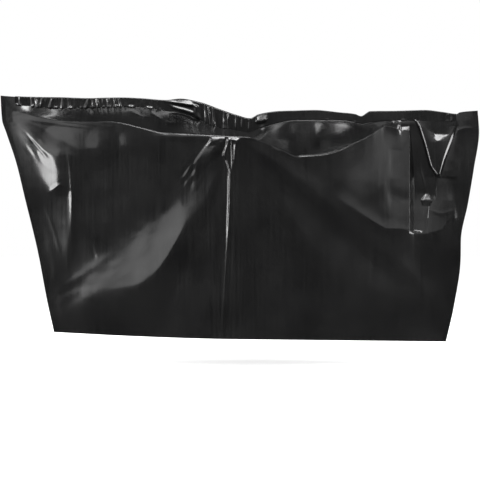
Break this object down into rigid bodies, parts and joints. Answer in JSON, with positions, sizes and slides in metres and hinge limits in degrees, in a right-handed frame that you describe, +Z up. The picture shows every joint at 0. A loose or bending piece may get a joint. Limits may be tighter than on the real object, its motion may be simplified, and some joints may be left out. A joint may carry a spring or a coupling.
{
  "type": "bicycle cover",
  "caption": "Fitted bicycle cover of thin glossy black film, draped as over a bicycle, with welded ends, a gathered band along the top and an open hem.",
  "frame": {"origin": "under the cover's top, in the middle of the handlebar that holds it up", "axes": "+X from the bicycle's front wheel to its rear wheel, +Y from the front panel to the back panel, +Z up"},
  "size_m": [2.0565, 0.571, 1.0622],
  "materials": {
    "film": "glossy thin black polyethylene film with soft creases",
    "band_film": "glossy black film, finely gathered"
  },
  "bodies": {
    "root": {"front_panel": "film", "back_panel": "film", "top_band": "band_film"}
  },
  "joints": []
}
